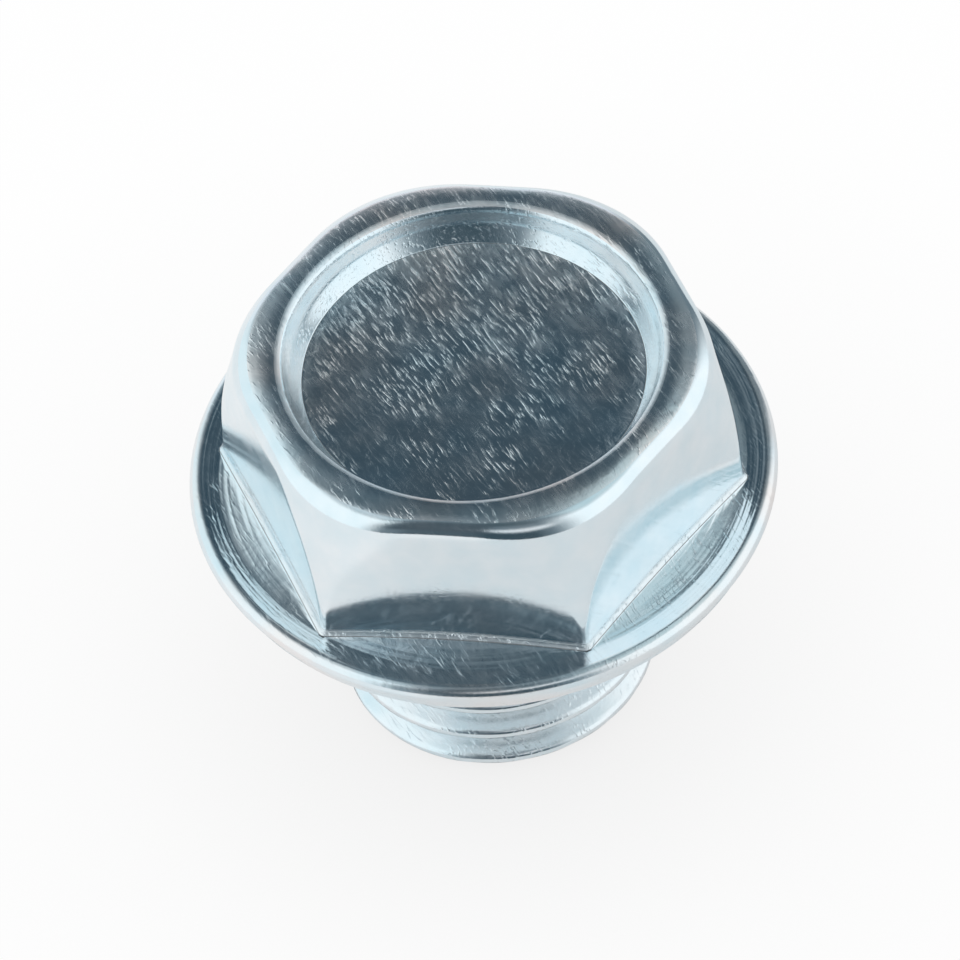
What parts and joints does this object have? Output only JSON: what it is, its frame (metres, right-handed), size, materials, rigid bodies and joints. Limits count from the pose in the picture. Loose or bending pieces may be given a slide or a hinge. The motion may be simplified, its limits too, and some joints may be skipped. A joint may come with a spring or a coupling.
{
  "type": "oil drain plug",
  "caption": "Zinc-plated hex flange drain plug with a dished head, one cold-headed piece that screws into the drain hole of an oil pan.",
  "frame": {"origin": "centre of the end face of the shank, on which the plug stands", "axes": "+Z along the axis of the plug from the end of the shank toward the head; two opposite flats of the hexagon face -Y and +Y"},
  "size_m": [0.022, 0.022, 0.0179],
  "materials": {
    "plated_steel": "bright zinc plate with a blue-white passivation, fine handling scratches"
  },
  "bodies": {
    "root": {"drain_plug": "plated_steel"}
  },
  "joints": []
}
